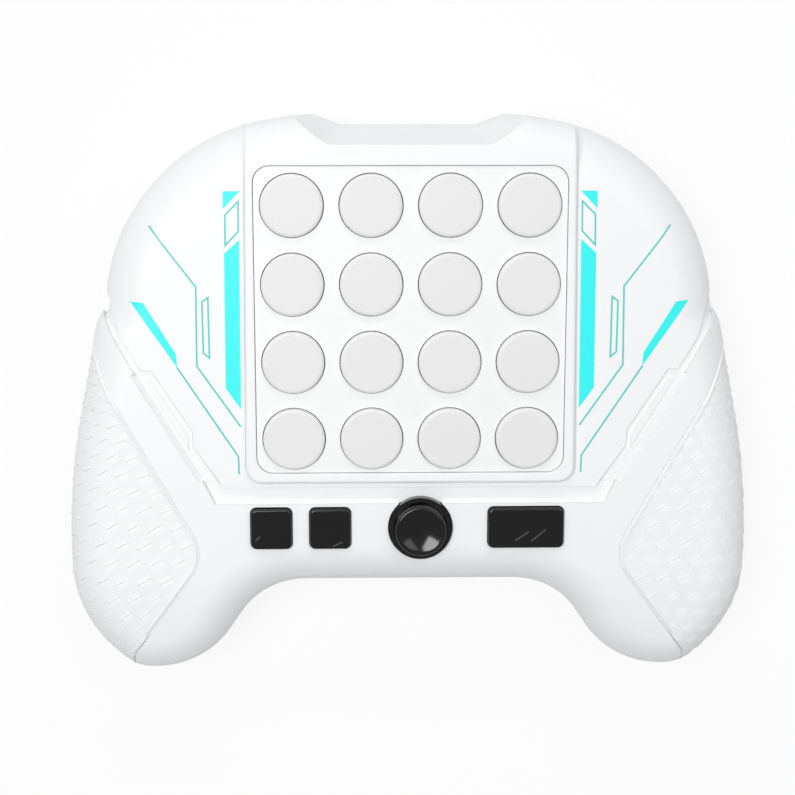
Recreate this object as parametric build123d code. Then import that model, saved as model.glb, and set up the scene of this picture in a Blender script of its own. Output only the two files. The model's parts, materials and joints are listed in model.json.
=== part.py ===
from build123d import *
import os
from math import radians, sqrt, tan

os.makedirs("parts", exist_ok=True)

# Plan measures are taken from the centre of the bubble field, +Y toward the top edge.
# Heights are taken from the flat back, and +Z points out of the face with the bubbles.
# The finished pieces are all moved alike, so that the origin is under the middle of the body.

# Clearances
fit = 0.15
slide_gap = 0.25
stop_gap = 0.2
overrun = 5.0

# Body outline: half of it, as corners that are rounded by the radii below
half_width = 87.9
top_reach = 50.6
tip_reach = 93.3
bar_reach = 69.0
crown_shares = ((0.312, 1.0), (0.598, 0.915), (0.855, 0.427), (0.874, 0.063))
haunch_shares = ((0.902, -0.011), (1.0, -0.453), (1.0, -0.834), (0.825, -1.0), (0.612, -1.0))
bar_corner_share = 0.43
brow_radius = 60.0
shoulder_radius = 49.2
waist_in_radius = 6.0
waist_out_radius = 14.0
flank_radius = 170.0
haunch_radius = 34.0
tip_radius = 13.0
heel_radius = 24.0
crotch_radius = 20.0
run_share = 0.97
upright_limit = 0.1

# Body heights and rounding
body_height = 32.0
parting_height = 20.0
front_round_share = 0.92
rear_round_share = 0.92
droop_reach = 64.0
droop_radius = 110.0
wall = 2.6
relief = 1.0

# Parting line: a shadow gap outside and a lip inside that lines the two halves up
seam_gap = 0.4
lip_height = 2.0
lip_thickness = 1.0

# Dip between the two horns at the top edge
dip_reach = 47.7
dip_lean = 4.0
dip_foot_half = 17.6
dip_face_half = 20.1
dip_mouth_half = 24.7
dip_rise = 2.9

# Bubble field
pitch = 19.4
rows = 4
columns = 4
hole_radius = 7.95
bubble_rise = 1.5
bubble_wall = 1.3
bubble_crown = 1.6
bubble_round = 0.8
bubble_flange_width = 1.4
bubble_flange_thickness = 1.3
plunger_radius = 1.8

# Panel that the bubbles come through, and the bezel over its border
panel_side_margin = 9.3
panel_top_margin = 9.5
panel_foot_margin = 8.7
panel_corner = 4.0
panel_border_width = 1.8
panel_border_thickness = 1.0
bezel_rise = 2.0
bezel_wall = 2.4
bezel_step = 0.7
bezel_top_ring = 2.0
bezel_side_ring = 3.0
bezel_foot_ring = 2.8
bezel_corner = 4.2
bezel_round_share = 0.6
bezel_edge = 0.9
bezel_inner_edge = 0.3
horn_round = 5.0
deck_edge_gap = 0.5

# Belt: a shallow channel across the front and out to each flank, and its slot and tab
belt_inner_shares = (
    (0.93, 0.16), (0.85, 0.052), (0.818, -0.038), (0.762, -0.127), (0.733, -0.127),
    (0.62, -0.293), (0.618, -0.336), (0.535, -0.45),
)
belt_outer_shares = (
    (0.561, -0.498), (0.597, -0.433), (0.785, -0.135), (0.827, -0.065), (0.90, 0.045),
    (1.04, 0.1),
)
slot_shares = ((0.785, -0.135), (0.597, -0.433), (0.605, -0.44), (0.793, -0.142))
slot_depth = 1.5
tab_shares = ((0.754, -0.153), (0.738, -0.153), (0.636, -0.304), (0.633, -0.345))
tab_step = 0.5

# Grip covers: textured skins let into the haunches
grip_shares = ((0.956, 0.043), (0.862, -0.181), (0.588, -0.645), (0.815, -0.94), (0.811, -1.08))
grip_outside_share = 1.1
grip_bend_radius = 60.0
grip_nose_radius = 10.0
grip_end_radius = 8.0

# Keys and start button under the field
key_row_reach = 52.6
key_width = 10.3
key_depth = 10.5
wide_key_width = 19.1
key_corner = 1.4
key_rise = 1.5
key_wall = 1.2
key_crown = 1.5
key_edge = 0.6
key_flange_width = 1.2
key_flange_thickness = 1.3
key_travel = 1.2
key_left_place = -35.2
key_middle_place = -20.3
key_wide_place = 29.4
start_place = 2.6
start_radius = 8.0
start_skirt_rise = 1.2
start_collar_radius = 6.9
start_rim_radius = 6.3
start_rim_rise = 4.2
start_dish_radius = 5.5
start_dish_depth = 1.0

# Rubber pads with hollow domes, and the circuit board under them
dome_radius = 5.0
dome_top_radius = 2.6
key_dome_radius = 3.6
key_dome_top_radius = 2.2
dome_rise = 1.8
dome_skin = 0.8
pad_thickness = 0.8
pad_margin = 8.0
key_pad_depth = 13.0
key_pad_margin = 7.0
board_thickness = 1.6
board_margin = 1.6
board_corner = 2.0
board_tail_half = 43.0
board_tail_reach = 61.0
board_tail_overlap = 4.0
led_size = 1.6
led_height = 0.7
led_offset = 6.7
led_window = 2.4
chip_size = 14.0
chip_height = 1.2
chip_reach = 9.7

# Screws and the bosses that take them
board_boss_radius = 2.4
board_screw_radius = 1.0
board_head_radius = 2.0
board_head_height = 1.2
board_screw_length = 4.0
tail_boss_place = 37.0
tail_boss_reach = 42.3
housing_boss_radius = 3.5
housing_screw_radius = 1.4
housing_bore_radius = 1.6
housing_head_radius = 2.6
housing_head_height = 2.0
housing_sink_radius = 3.0
housing_sink_depth = 7.0
housing_screw_length = 18.0
screw_shares = ((0.569, 0.672, 1), (0.774, 0.0, 1), (0.557, -0.668, 0))

# Ribs across the floor of each grip
rib_shares = (-0.56, -0.7, -0.84)
rib_inner_share = 0.5
rib_thickness = 1.2
rib_height = 9.0

# Battery box, its cells and its door
cell_radius = 5.25
cell_length = 43.3
cell_nub_radius = 1.9
cell_nub_length = 1.2
cell_count = 3
cell_gap = 0.5
cell_lift = 0.4
contact_room = 3.2
box_wall = 1.6
box_place = 8.0
divider_thickness = 1.0
divider_height = 1.8
door_thickness = 2.0
door_ledge = 1.5
door_corner = 2.0
ear_radius = 4.5
ear_place = 1.5
ear_boss_radius = 3.4
ear_boss_height = 9.0
door_screw_radius = 1.0
door_screw_bore = 1.2
door_head_radius = 2.1
door_head_height = 1.2
door_screw_length = 7.0
hook_width = 2.0
hook_thickness = 1.2
hook_reach = 1.6
contact_thickness = 0.4
contact_width = 8.0
contact_height = 8.6
contact_bulge = 2.0

# Speaker behind the slotted grille in the back
speaker_reach = 30.0
speaker_radius = 14.0
speaker_lip = 1.6
speaker_lip_thickness = 0.8
speaker_depth = 4.6
magnet_radius = 8.0
magnet_height = 2.4
basket_thickness = 0.7
cone_thickness = 0.4
cone_depth = 1.8
cone_cap_radius = 4.0
speaker_ring_wall = 1.2
speaker_ring_height = 3.4
grille_slot_width = 1.6
grille_slot_pitch = 3.4
grille_radius = 11.0

# Heights that follow
bezel_top = body_height + bezel_rise
deck_top = bezel_top - bezel_wall
panel_floor = deck_top - panel_border_thickness
panel_top = bezel_top - bezel_step
bubble_top = panel_top + bubble_rise
ceiling = body_height - wall
bubble_flange_top = panel_floor - stop_gap
bubble_flange_floor = bubble_flange_top - bubble_flange_thickness
key_flange_top = ceiling - stop_gap
key_flange_floor = key_flange_top - key_flange_thickness
pad_top = key_flange_floor - key_travel - stop_gap - stop_gap / 2
board_top = pad_top - pad_thickness
board_floor = board_top - board_thickness
lamp_top = board_top + led_height
dome_top = pad_top + dome_rise
plunger_floor = dome_top + stop_gap

# Plan sizes that follow
field_half_x = pitch * (columns - 1) / 2
field_half_y = pitch * (rows - 1) / 2
panel_half = field_half_x + panel_side_margin
panel_head = field_half_y + panel_top_margin
panel_foot = field_half_y + panel_foot_margin
bubble_radius = hole_radius - slide_gap
bubble_flange_radius = bubble_radius + bubble_flange_width
bezel_foot = panel_foot + bezel_foot_ring
board_half = field_half_x + pad_margin + board_margin
cell_pitch = 2 * cell_radius + cell_gap
box_length = cell_length + cell_nub_length + 2 * contact_room
box_width = cell_pitch * cell_count
cell_height = door_thickness + cell_lift + cell_radius
box_ceiling = cell_height + cell_radius + cell_lift
deck_edge = dip_reach - dip_lean - bezel_wall - deck_edge_gap
bubble_spots = GridLocations(pitch, pitch, columns, rows).locations
boss_spots = GridLocations(2 * pitch, 2 * pitch, 2, 2).locations


def fitted_radii(points, radii):
    """Give each corner of a closed outline its radius, or as much as its two runs allow."""
    count = len(points)
    runs = [points[(i + 1) % count] - points[i] for i in range(count)]
    rooms = [run_share * run.length for run in runs]
    needs = [
        radii[i] * tan(radians(runs[i - 1].get_angle(runs[i])) / 2) for i in range(count)
    ]
    shares = [
        rooms[i] / max(rooms[i], needs[i] + needs[(i + 1) % count]) for i in range(count)
    ]
    return [radii[i] * min(shares[i - 1], shares[i]) for i in range(count)]


def turn_at(points, i):
    """The unit directions into and out of a corner, and which way the outline turns there."""
    before = (points[i] - points[i - 1]).normalized()
    after = (points[(i + 1) % len(points)] - points[i]).normalized()
    return before, after, before.cross(after).Z


def shrunk(points, radii, inset):
    """A clockwise rounded outline moved inward: its corners, and their radii to match."""
    corners = []
    rounds = []
    for i, point in enumerate(points):
        before, after, turn = turn_at(points, i)
        inward = Vector(before.Y + after.Y, -before.X - after.X)
        corners.append(point + inward * (inset / (1 + before.dot(after))))
        rounds.append(radii[i] + (inset if turn > 0 else -inset))
    return corners, rounds


def rounded_face(points, radii):
    """Closed flat face through rounded corners."""
    corners = [Vector(*point) for point in points]
    return make_face(FilletPolyline(*corners, radius=fitted_radii(corners, radii), close=True))


def sharp_face(points):
    """Closed flat face through sharp corners."""
    return make_face(Polyline(*points, close=True))


def both_sides(points):
    """A half outline listed from the top down, joined to its mirror image."""
    return points + [(-x, y) for x, y in reversed(points)]


def block(face, floor, top):
    """A flat face raised from one height to another."""
    return Pos(0, 0, floor) * extrude(face, top - floor)


def discs(places, radius):
    """Alike flat discs at several places."""
    return Sketch() + [Pos(x, y) * Circle(radius) for x, y in places]


def mirrored(shape):
    """The same shape on the other side of the body."""
    return mirror(shape, about=Plane.YZ)


def turned(points):
    """Solid of revolution about Z from radius and height pairs."""
    return revolve(Plane.XZ * sharp_face(points), Axis.Z)


def group(solids):
    """Several alike pieces kept together."""
    return Compound(children=[solid for piece in solids for solid in piece.solids()])


def outline_corners():
    """Corners of the body's plan, clockwise, with the radius that each one has."""
    half = [(x * half_width, y * top_reach) for x, y in crown_shares]
    half += [(x * half_width, y * tip_reach) for x, y in haunch_shares]
    half += [(bar_corner_share * half_width, -bar_reach)]
    radii = [
        brow_radius, shoulder_radius, shoulder_radius, waist_in_radius, waist_out_radius,
        flank_radius, haunch_radius, tip_radius, heel_radius, crotch_radius,
    ]
    points = [Vector(*point) for point in both_sides(half)]
    return points, fitted_radii(points, radii + radii[::-1])


def outline_face(inset):
    """Plan of the body, with the shoulders, the grips and the bar between them."""
    points, radii = outline_corners()
    corners, rounds = shrunk(points, radii, inset)
    return make_face(FilletPolyline(*corners, radius=rounds, close=True))


def tightest_bend():
    """The smallest radius of the corners that stand outward."""
    points, radii = outline_corners()
    return min(radii[i] for i in range(len(points)) if turn_at(points, i)[2] < 0)


def droop_face(inset, top):
    """Side view: level over the keys and bubbles, then falling along an arc to the tips."""
    roof = top - inset
    arc_centre = top - droop_radius
    end = -(tip_reach + overrun)
    middle = (end - droop_reach) / 2

    def roof_at(y):
        return arc_centre + sqrt((droop_radius - inset) ** 2 - (y + droop_reach) ** 2)

    head = top_reach + overrun
    edges = [
        Line((head, inset), (head, roof)),
        Line((head, roof), (-droop_reach, roof)),
        ThreePointArc((-droop_reach, roof), (middle, roof_at(middle)), (end, roof_at(end))),
        Line((end, roof_at(end)), (end, inset)),
        Line((end, inset), (head, inset)),
    ]
    return make_face(edges)


def dip_cut(inset):
    """The trapezoid cut between the horns, its floor leaning back toward the face."""
    reach = top_reach + overrun
    rise = (bezel_top + overrun - parting_height) / (bezel_top - parting_height)
    floor = dip_reach - inset
    lip = floor - dip_lean * rise
    slope = (dip_mouth_half - dip_foot_half) / dip_rise
    foot = dip_foot_half + inset
    face_half = foot + (dip_face_half - dip_foot_half) * rise
    radii = [0, horn_round, horn_round, 0]
    low = rounded_face(both_sides([(foot + slope * (reach - floor), reach), (foot, floor)]), radii)
    mouth = face_half + slope * (reach - floor)
    high = rounded_face(both_sides([(mouth, reach), (face_half, lip)]), radii)
    upper = loft([Pos(0, 0, parting_height) * low, Pos(0, 0, bezel_top + overrun) * high], ruled=True)
    return upper + block(low, -overrun, parting_height)


def wall_edges(solid, low, high):
    """Edges of the upright walls whose middle lies between two heights."""
    walls = solid.faces().filter_by(lambda face: abs(face.normal_at().Z) < upright_limit)
    edges = [edge for face in walls for edge in face.edges()]
    return ShapeList([edge for edge in edges if low < edge.center().Z < high])


def body(inset, top, front_share):
    """The whole body, or the same body shrunk by an even thickness."""
    bend = tightest_bend()
    solid = extrude(outline_face(inset), top)
    solid &= extrude(Plane.YZ * droop_face(inset, top), half_width + overrun, both=True)
    solid = fillet(wall_edges(solid, parting_height, top + overrun), front_share * bend - inset)
    solid = fillet(wall_edges(solid, -overrun, inset + relief / 2), rear_round_share * bend - inset)
    return solid - dip_cut(inset)


def upper_half(shape):
    """What lies above the parting plane."""
    return split(shape, bisect_by=Plane.XY.offset(parting_height), keep=Keep.TOP)


def lower_half(shape):
    """What lies below the parting plane."""
    return split(shape, bisect_by=Plane.XY.offset(parting_height), keep=Keep.BOTTOM)


def bezel_face(clearance):
    """Plan of the bezel: open to the top edge, tapered, with two rounded lower corners."""
    head = panel_half + bezel_top_ring + clearance
    foot = panel_half + bezel_side_ring + clearance
    half = [(head, top_reach + overrun), (foot, -bezel_foot - clearance)]
    corner = bezel_corner + clearance
    return rounded_face(both_sides(half), [0, corner, corner, 0])


def panel_face(margin):
    """Plan of the bubble panel, grown by a margin."""
    plan = RectangleRounded(
        2 * (panel_half + margin), panel_head + panel_foot + 2 * margin, panel_corner + margin
    )
    return Pos(0, (panel_head - panel_foot) / 2) * plan


def belt_face():
    """The channel from flank to flank under the bezel, in one closed outline."""
    inner = [(x * half_width, y * tip_reach) for x, y in belt_inner_shares]
    outer = [(x * half_width, y * tip_reach) for x, y in belt_outer_shares]
    half = inner[::-1] + outer[::-1]
    right = inner + outer
    left = [(-x, y) for x, y in right]
    strip = Pos(0, (inner[-1][1] + outer[0][1]) / 2) * Rectangle(
        inner[-1][0] + outer[0][0], inner[-1][1] - outer[0][1]
    )
    return sharp_face(right) + sharp_face(left) + strip


def share_face(shares):
    """Closed outline from shares of the half width and of the reach of the tips."""
    return sharp_face([(x * half_width, y * tip_reach) for x, y in shares])


def grip_face(clearance):
    """Plan of one grip cover, run out past the flank."""
    seam = [(x * half_width, y * tip_reach) for x, y in grip_shares]
    outside = grip_outside_share * half_width
    points = seam + [(outside, seam[-1][1]), (outside, seam[0][1])]
    plan = rounded_face(points, [0, grip_bend_radius, grip_nose_radius, grip_end_radius, 0, 0, 0])
    return offset(plan, clearance) if clearance else plan


def screw_places():
    """The housing screws: two at the shoulders, two at the flanks, two beside the bar."""
    return [
        (side * x * half_width, y * (top_reach if upper else tip_reach))
        for x, y, upper in screw_shares
        for side in (-1, 1)
    ]


def whole_plan():
    """A rectangle wide enough to cover the whole body."""
    return Rectangle(2 * (half_width + overrun), 2 * (tip_reach + overrun))


def locating_lip(outer):
    """Lip standing up from the back inside the wall of the front, clear of the bosses."""
    inside = wall + fit
    edge = outline_face(inside + lip_thickness)
    root = block(outline_face(wall / 2) - edge, parting_height - lip_height, parting_height)
    lip = block(outline_face(inside) - edge, parting_height, parting_height + lip_height)
    lip &= body(inside, body_height, front_round_share)
    bosses = discs(screw_places(), housing_boss_radius + fit)
    return (root & outer) + (lip - block(bosses, parting_height, body_height))


def control_hole(width, depth):
    """The opening in the front for one key."""
    plan = RectangleRounded(width + 2 * slide_gap, depth + 2 * slide_gap, key_corner + slide_gap)
    return Pos(0, -key_row_reach) * plan


def front_shell(outer, inner, layer, under_bezel):
    """Front moulding, with the deck under the bezel, the belts and the screw bosses."""
    shell = upper_half(outer - inner)
    shell -= layer & block(whole_plan(), parting_height, parting_height + seam_gap)
    bezel_room = block(bezel_face(fit), parting_height, bezel_top + overrun)
    past_deck = Pos(0, deck_edge + half_width, 0) * Rectangle(2 * half_width, 2 * half_width)
    shell -= bezel_room - under_bezel
    shell -= bezel_room & block(past_deck, 0, bezel_top + overrun)
    flange_room = 2 * (bubble_flange_radius + slide_gap)
    window = Rectangle(2 * field_half_x + flange_room, 2 * field_half_y + flange_room)
    shell -= block(window, panel_floor - overrun, bezel_top)
    shell -= block(panel_face(panel_border_width + fit), panel_floor, bezel_top)

    belt = belt_face() - share_face(tab_shares) - mirror(share_face(tab_shares), about=Plane.YZ)
    shell -= layer & block(belt, 0, bezel_top)
    slot = block(share_face(slot_shares), body_height - slot_depth, bezel_top)
    tab = block(share_face(tab_shares), body_height - tab_step, bezel_top)
    shell -= slot + mirrored(slot) + tab + mirrored(tab)
    grip = block(grip_face(fit), -overrun, bezel_top)
    shell -= layer & (grip + mirrored(grip))

    for place, width in (
        (key_left_place, key_width), (key_middle_place, key_width), (key_wide_place, wide_key_width)
    ):
        shell -= block(Pos(place, 0) * control_hole(width, key_depth), parting_height, bezel_top)
        flange = 2 * (key_flange_width + slide_gap)
        room = Pos(place, -key_row_reach) * Rectangle(width + flange, key_depth + flange)
        shell -= block(room, parting_height, ceiling)
    start = Pos(start_place, -key_row_reach)
    shell -= block(start * Circle(start_radius + slide_gap), parting_height, bezel_top)
    flange = start_radius + key_flange_width + slide_gap
    shell -= block(start * Circle(flange), parting_height, ceiling)

    middle = body_height - wall / 2
    bosses = block(discs(screw_places(), housing_boss_radius), parting_height, middle)
    pilots = block(discs(screw_places(), housing_screw_radius), parting_height, ceiling)
    tail = [(-tail_boss_place, -tail_boss_reach), (tail_boss_place, -tail_boss_reach)]
    bosses += block(discs(tail, board_boss_radius), board_top, middle)
    pilots += block(discs(tail, board_screw_radius), board_top, ceiling)
    return shell + (bosses & outer) - pilots


def bezel_frame(raised, under_bezel):
    """Raised frame around the panel, which wraps over the top edge between the shoulders."""
    frame = upper_half(raised - under_bezel) & block(bezel_face(0), 0, bezel_top + overrun)
    frame -= block(panel_face(panel_border_width + fit), 0, deck_top)
    frame -= block(panel_face(fit), 0, bezel_top + overrun)
    face = frame.faces().filter_by(Axis.Z).sort_by(Axis.Z)[-1]
    window_edges = face.inner_wires()[0].edges()
    frame = fillet(window_edges, bezel_inner_edge)
    face = frame.faces().filter_by(Axis.Z).sort_by(Axis.Z)[-1]
    sides = [edge for edge in face.outer_wire().edges() if edge.center().Y < panel_head]
    return fillet(sides, bezel_edge)


def bubble_panel():
    """White panel with sixteen holes, a border under the bezel and four board bosses."""
    panel = block(panel_face(panel_border_width), panel_floor, deck_top)
    panel += block(panel_face(0), panel_floor, panel_top)
    holes = Sketch() + [spot * Circle(hole_radius) for spot in bubble_spots]
    panel -= block(holes, parting_height, bezel_top)
    posts = Sketch() + [spot * Circle(board_boss_radius) for spot in boss_spots]
    pilots = Sketch() + [spot * Circle(board_screw_radius) for spot in boss_spots]
    panel += block(posts, board_top, panel_floor)
    return panel - block(pilots, board_top, panel_floor)


def bubble():
    """One round push bubble: a hollow cap with a flange below and a plunger in the middle."""
    bore = bubble_radius - bubble_wall
    roof = bubble_top - bubble_crown
    cap = turned([
        (0, bubble_top), (bubble_radius, bubble_top), (bubble_radius, bubble_flange_top),
        (bubble_flange_radius, bubble_flange_top), (bubble_flange_radius, bubble_flange_floor),
        (bore, bubble_flange_floor), (bore, roof), (plunger_radius, roof),
        (plunger_radius, plunger_floor), (0, plunger_floor),
    ])
    rim = cap.edges().filter_by(GeomType.CIRCLE).group_by(Axis.Z)[-1]
    return fillet(rim, bubble_round)


def domes(spots, radius, top_radius):
    """Hollow rubber domes standing on a pad, each open below."""
    inner_top = top_radius - dome_skin / 2
    dome = turned([(0, pad_top), (radius, pad_top), (top_radius, dome_top), (0, dome_top)])
    room = turned([
        (0, board_top), (radius - dome_skin, board_top), (inner_top, dome_top - dome_skin),
        (0, dome_top - dome_skin),
    ])
    return [spot * dome for spot in spots], [spot * room for spot in spots]


def dome_pad():
    """Rubber sheet with one dome under each bubble, cut out round the lamps and the bosses."""
    plan = RectangleRounded(
        2 * (field_half_x + pad_margin), 2 * (field_half_y + pad_margin), board_corner
    )
    plan -= [spot * Circle(board_boss_radius + slide_gap) for spot in boss_spots]
    plan -= [spot * Pos(led_offset, 0) * Rectangle(led_window, led_window) for spot in bubble_spots]
    solids, rooms = domes(bubble_spots, dome_radius, dome_top_radius)
    return block(plan, board_top, pad_top) + solids - rooms


def key_spots():
    """Places of the three keys and the start button along their row."""
    places = (key_left_place, key_middle_place, start_place, key_wide_place)
    return [Pos(place, -key_row_reach, 0) for place in places]


def key_pad():
    """Rubber strip with one dome under each key and under the start button."""
    left = key_left_place - key_pad_margin
    right = key_wide_place + wide_key_width / 2
    plan = Pos((left + right) / 2, -key_row_reach) * RectangleRounded(
        right - left, key_pad_depth, board_corner
    )
    solids, rooms = domes(key_spots(), key_dome_radius, key_dome_top_radius)
    return block(plan, board_top, pad_top) + solids - rooms


def key_cap(place, width):
    """One key: a hollow rectangular cap with softened edges, a flange and a plunger."""
    top = body_height + key_rise
    spot = Pos(place, -key_row_reach)
    cap = block(RectangleRounded(width, key_depth, key_corner), key_flange_floor, top)
    cap = fillet(cap.faces().sort_by(Axis.Z)[-1].edges(), key_edge)
    grow = 2 * key_flange_width
    flange = RectangleRounded(width + grow, key_depth + grow, key_corner + key_flange_width)
    cap += block(flange, key_flange_floor, key_flange_top)
    room = Rectangle(width - 2 * key_wall, key_depth - 2 * key_wall)
    cap -= block(room, key_flange_floor, top - key_crown)
    cap += block(Circle(plunger_radius), plunger_floor, top - key_crown)
    return spot * cap


def start_button():
    """Round button: a low skirt, a collar and a raised rim around a dished top."""
    skirt_top = body_height + start_skirt_rise
    rim_top = body_height + start_rim_rise
    flange = start_radius + key_flange_width
    bore = start_radius - key_wall
    roof = skirt_top - key_crown
    collar = start_collar_radius
    solid = turned([
        (0, rim_top), (start_rim_radius, rim_top), (collar, skirt_top),
        (start_radius, skirt_top), (start_radius, key_flange_top), (flange, key_flange_top),
        (flange, key_flange_floor), (bore, key_flange_floor), (bore, roof),
        (plunger_radius, roof), (plunger_radius, plunger_floor), (0, plunger_floor),
    ])
    ball = (start_dish_radius ** 2 + start_dish_depth ** 2) / (2 * start_dish_depth)
    solid -= Pos(0, 0, rim_top - start_dish_depth + ball) * Sphere(ball)
    rings = solid.edges().filter_by(GeomType.CIRCLE)
    rim = [edge for edge in rings if abs(edge.center().Z - rim_top) < fit]
    outer_rim = max(rim, key=lambda edge: edge.radius)
    solid = fillet(outer_rim, key_edge)
    return Pos(start_place, -key_row_reach, 0) * solid


def main_board():
    """Circuit board under the field, with a wider tail under the keys."""
    head = field_half_y + pad_margin + board_margin
    tail_head = panel_foot + board_tail_overlap - bezel_foot_ring
    plan = Pos(0, (head - tail_head) / 2) * RectangleRounded(
        2 * board_half, head + tail_head, board_corner
    )
    tail_height = board_tail_reach - tail_head + board_tail_overlap
    plan += Pos(0, -board_tail_reach + tail_height / 2) * RectangleRounded(
        2 * board_tail_half, tail_height, board_corner
    )
    plan -= [Pos(x, y) * Circle(board_screw_radius + fit) for x, y in board_screw_places()]
    return block(plan, board_floor, board_top)


def board_screw_places():
    """Four screws into the panel and two into the front moulding."""
    upper = [(spot.position.X, spot.position.Y) for spot in boss_spots]
    return upper + [(-tail_boss_place, -tail_boss_reach), (tail_boss_place, -tail_boss_reach)]


def screws(places, radius, length, head_radius, head_height, seat):
    """Pan-head screws pointing up, each head under its seat."""
    screw = turned([
        (0, seat + length), (radius, seat + length), (radius, seat), (head_radius, seat),
        (head_radius, seat - head_height), (0, seat - head_height),
    ])
    return group([Pos(x, y, 0) * screw for x, y in places])


def lamps():
    """One small lamp beside each dome."""
    lamp = block(Pos(led_offset, 0) * Rectangle(led_size, led_size), board_top, lamp_top)
    return group([spot * lamp for spot in bubble_spots])


def controller_chip():
    """The controller, on the side of the board away from the bubbles."""
    spot = Pos(0, -chip_reach)
    return block(spot * Rectangle(chip_size, chip_size), board_floor - chip_height, board_floor)


def ear_spot():
    """Centre of the screwed ear at the end of the battery door."""
    return Pos(box_length / 2 + door_ledge + ear_place, box_place)


def door_face(clearance):
    """Plan of the battery door with its screw ear."""
    plan = Pos(0, box_place) * RectangleRounded(
        box_length + 2 * (door_ledge + clearance), box_width + 2 * (door_ledge + clearance),
        door_corner,
    )
    return plan + ear_spot() * Circle(ear_radius + clearance)


def hooks(clearance):
    """Two hooks at the end of the door, which reach over the edge of the back shell."""
    root = -box_length / 2 + hook_thickness
    tip = -box_length / 2 - door_ledge - hook_reach - clearance
    floor = wall + fit - clearance
    top = wall + fit + hook_thickness + clearance
    outline = sharp_face([
        (root, door_thickness), (root, top), (tip, top), (tip, floor),
        (root - hook_thickness + fit, floor), (root - hook_thickness + fit, door_thickness),
    ])
    half = hook_width / 2 + clearance
    hook = Pos(0, half, 0) * extrude(Plane.XZ * outline, 2 * half)
    places = [box_place - cell_pitch / 2, box_place + cell_pitch / 2]
    return group([Pos(0, y, 0) * hook for y in places])


def battery_door():
    """Flat door, flush with the back, held by two hooks and one sunk screw."""
    door = block(door_face(0), 0, door_thickness) + hooks(0)
    door -= block(ear_spot() * Circle(door_screw_bore), 0, door_thickness)
    return door - block(ear_spot() * Circle(door_head_radius + fit), 0, door_head_height)


def rear_shell(outer, inner, layer):
    """Back moulding, with the battery box, the speaker ring, the grille and screw bosses."""
    shell = lower_half(outer - inner) + locating_lip(outer)
    for share in rib_shares:
        inner_x = rib_inner_share * half_width
        rib = Pos((inner_x + half_width) / 2, share * tip_reach) * Rectangle(
            half_width - inner_x, rib_thickness
        )
        rib = block(rib, wall / 2, rib_height) & outer
        shell += rib + mirrored(rib)
    spot = Pos(0, box_place)
    box = Rectangle(box_length + 2 * box_wall, box_width + 2 * box_wall)
    shell += block(spot * box, wall / 2, box_ceiling + box_wall)
    shell += block(ear_spot() * Circle(ear_boss_radius), wall / 2, door_thickness + ear_boss_height)
    shell -= block(spot * Rectangle(box_length, box_width), -overrun, box_ceiling)
    shell -= block(door_face(fit), -overrun, door_thickness) + hooks(fit)
    shell -= block(ear_spot() * Circle(door_screw_radius), 0, door_thickness + door_screw_length)
    for index in range(cell_count - 1):
        y = box_place + cell_pitch * (index + 1 - cell_count / 2)
        rib = Pos(0, y) * Rectangle(box_length, divider_thickness)
        shell += block(rib, box_ceiling - divider_height, box_ceiling + box_wall / 2)

    centre = Pos(0, -speaker_reach)
    ring = Circle(speaker_radius + fit + speaker_ring_wall) - Circle(speaker_radius + fit)
    shell += block(centre * ring, wall / 2, wall + speaker_ring_height)
    count = int(grille_radius / grille_slot_pitch)
    for index in range(-count, count + 1):
        y = index * grille_slot_pitch
        length = 2 * sqrt(grille_radius ** 2 - y ** 2)
        slot = Pos(0, y - speaker_reach) * Rectangle(length, grille_slot_width)
        shell -= block(slot, -overrun, wall + fit)

    places = screw_places()
    bosses = block(discs(places, housing_boss_radius), wall / 2, parting_height)
    collars = discs(places, housing_sink_radius + box_wall)
    bosses += block(collars, wall / 2, housing_sink_depth + box_wall)
    shell += bosses & outer
    bores = block(discs(places, housing_bore_radius), 0, parting_height)
    sinks = block(discs(places, housing_sink_radius), -overrun, housing_sink_depth)
    grip = block(grip_face(fit), -overrun, bezel_top)
    return shell - (bores + sinks) - (layer & (grip + mirrored(grip)))


def cell(index):
    """One dry cell with its raised contact, turned end for end in the middle place."""
    nub = cell_length / 2 + cell_nub_length / 2
    low = -cell_length / 2 - cell_nub_length / 2
    top = nub - cell_nub_length
    solid = turned([
        (0, low), (cell_radius, low), (cell_radius, top), (cell_nub_radius, top),
        (cell_nub_radius, nub), (0, nub),
    ])
    turn = 90 if index % 2 else -90
    y = box_place + cell_pitch * (index - (cell_count - 1) / 2)
    return Pos(0, y, cell_height) * Rot(0, turn, 0) * solid


def battery_contacts():
    """Bowed leaf contacts, one at each end of each cell."""
    face = box_length / 2
    bulge = face - contact_bulge - contact_thickness
    half = contact_height / 2
    band = contact_thickness
    outline = sharp_face([
        (face, -half), (face, half), (face - band, half), (face - band, -half / 2),
        (bulge, 0), (bulge, half / 2), (bulge - band, half / 2), (bulge - band, 0),
        (face - 2 * band, -half),
    ])
    leaf = Pos(0, contact_width / 2, cell_height) * extrude(Plane.XZ * outline, contact_width)
    leaves = []
    for index in range(cell_count):
        y = box_place + cell_pitch * (index - (cell_count - 1) / 2)
        leaves += [Pos(0, y, 0) * leaf, Pos(0, y, 0) * mirrored(leaf)]
    return group(leaves)


def speaker_basket():
    """Pressed basket with its magnet, rim against the back wall."""
    floor = wall
    seat = floor + speaker_lip_thickness
    neck = speaker_radius - speaker_lip
    roof = floor + speaker_depth
    shelf = roof - basket_thickness
    top = roof + magnet_height
    basket = turned([
        (speaker_radius, floor), (speaker_radius, seat), (neck, seat), (magnet_radius, shelf),
        (magnet_radius, top), (0, top), (0, shelf), (magnet_radius - basket_thickness, shelf),
        (neck - basket_thickness, floor),
    ])
    return Pos(0, -speaker_reach, 0) * basket


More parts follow.
